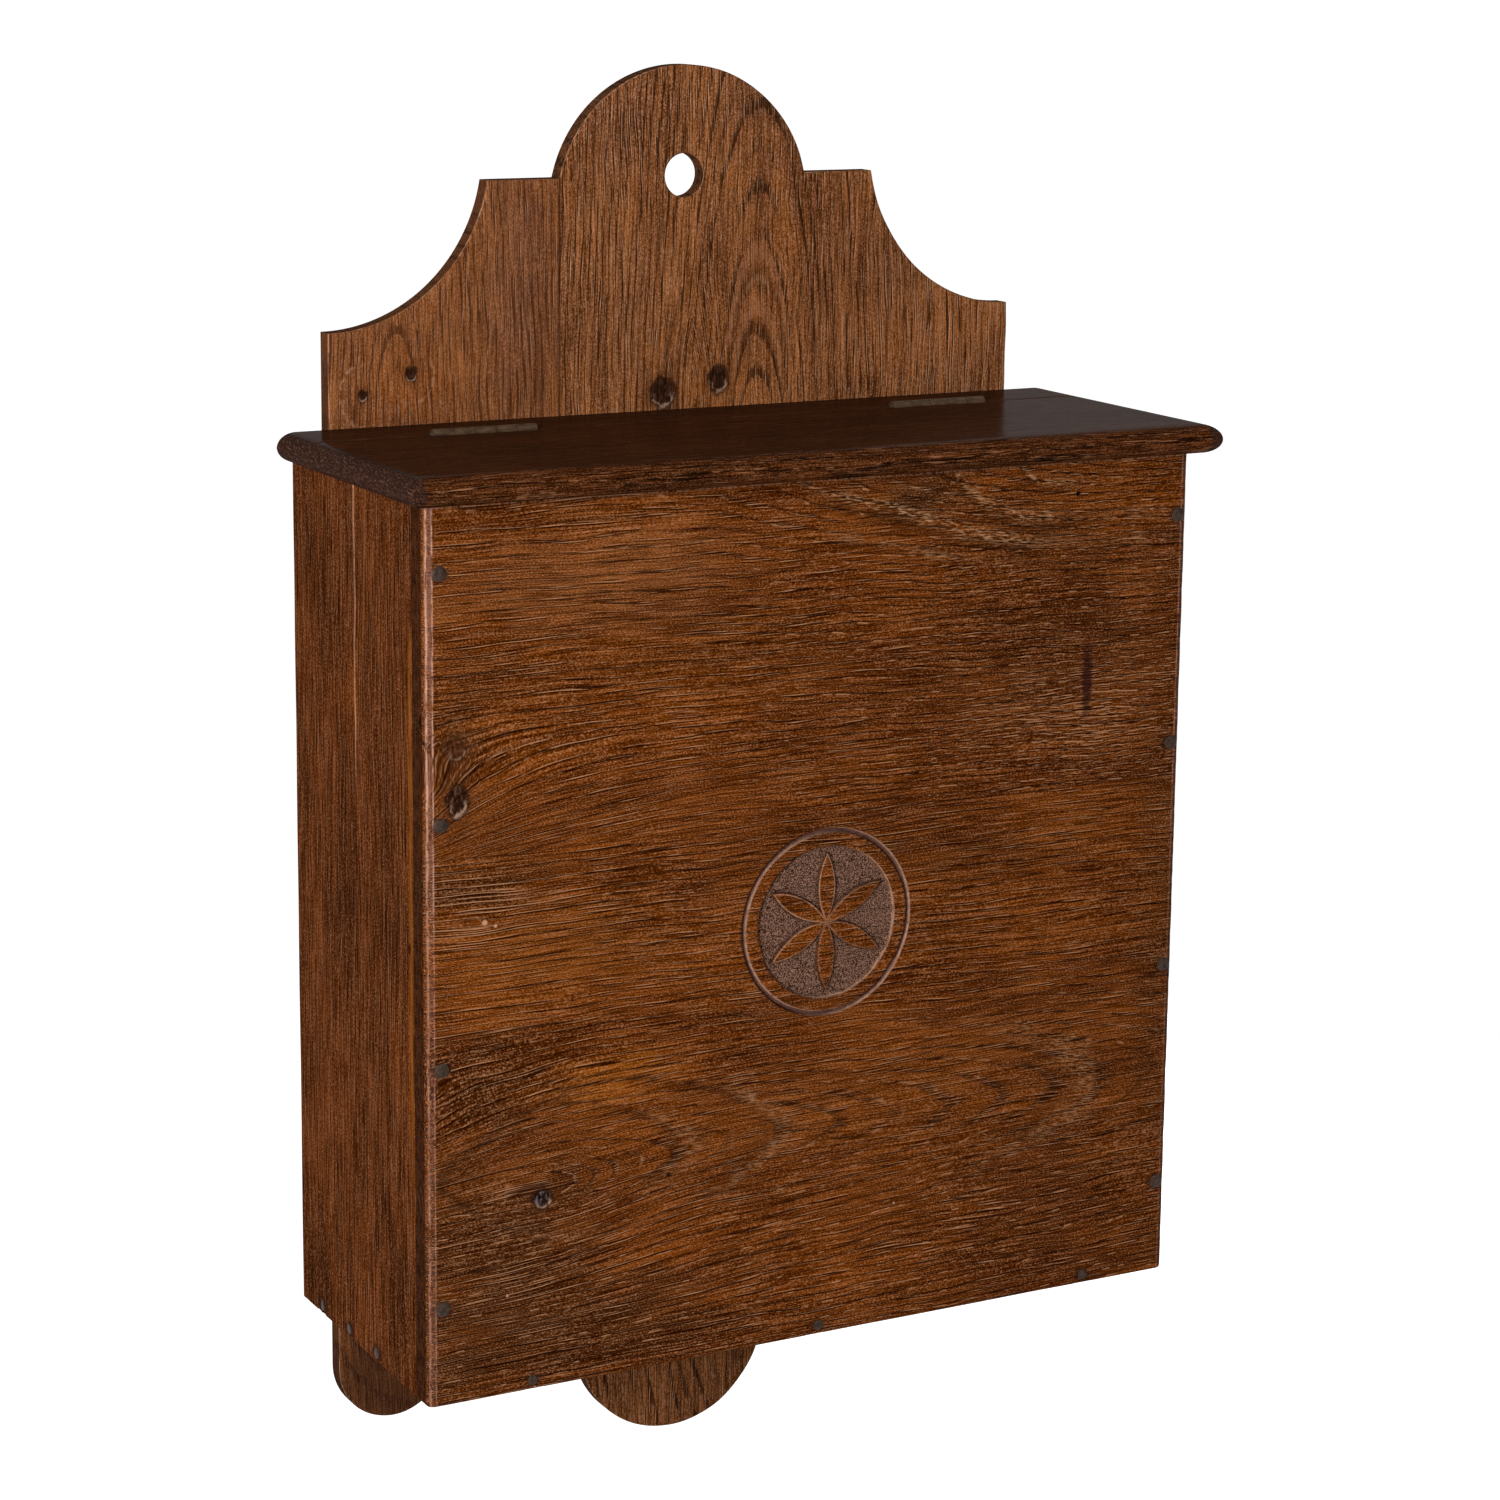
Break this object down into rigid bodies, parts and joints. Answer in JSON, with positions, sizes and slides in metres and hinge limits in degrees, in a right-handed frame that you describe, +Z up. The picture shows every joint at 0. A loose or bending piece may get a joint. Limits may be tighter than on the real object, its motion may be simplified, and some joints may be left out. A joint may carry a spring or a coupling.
{
  "type": "wall document box",
  "caption": "Wall-hung oak box for papers: shaped back board with a hanging hole, deep nailed case with a carved roundel, and a hinged lid with a rounded nose.",
  "frame": {"origin": "middle of the hanging hole, on the wall plane that the back board's rear face and the sides' back edges share", "axes": "+Z up, +Y towards the wall, +X to the viewer's right when facing the box"},
  "size_m": [0.36, 0.143, 0.5909],
  "materials": {
    "back_oak": "stained oak, worn wax",
    "side_oak": "stained oak, worn wax",
    "front_oak": "stained oak, limed pores, worn wax",
    "bottom_oak": "raw aged oak",
    "top_oak": "dark stained oak, half-gloss wax",
    "iron": "dark forged iron",
    "brass": "dull aged brass",
    "brass_screws": "dull aged brass",
    "pin_steel": "drawn steel wire"
  },
  "bodies": {
    "case": {"back_board_narrow": "back_oak", "back_board_wide": "back_oak", "left_side_board": "side_oak", "right_side_board": "side_oak", "front_board_upper": "front_oak", "front_board_lower": "front_oak", "bottom_board": "bottom_oak", "hinge_rail": "top_oak", "front_nails_left": "iron", "front_nails_right": "iron", "front_nails_bottom": "iron", "side_nails_left": "iron", "side_nails_right": "iron", "back_nails_rail": "iron", "back_nails_bottom": "iron", "left_hinge_rail_leaf": "brass", "left_hinge_pin": "pin_steel", "left_hinge_rail_screws": "brass_screws", "right_hinge_rail_leaf": "brass", "right_hinge_pin": "pin_steel", "right_hinge_rail_screws": "brass_screws"},
    "lid": {"lid": "top_oak", "left_hinge_lid_leaf": "brass", "left_hinge_lid_screws": "brass_screws", "right_hinge_lid_leaf": "brass", "right_hinge_lid_screws": "brass_screws"}
  },
  "joints": [
    {"name": "lid_hinge", "type": "hinge", "parent": "case", "child": "lid", "pos_m": [0, -0.04, -0.0965], "axis": [-1, 0, 0], "range_deg": [0, 106]}
  ]
}
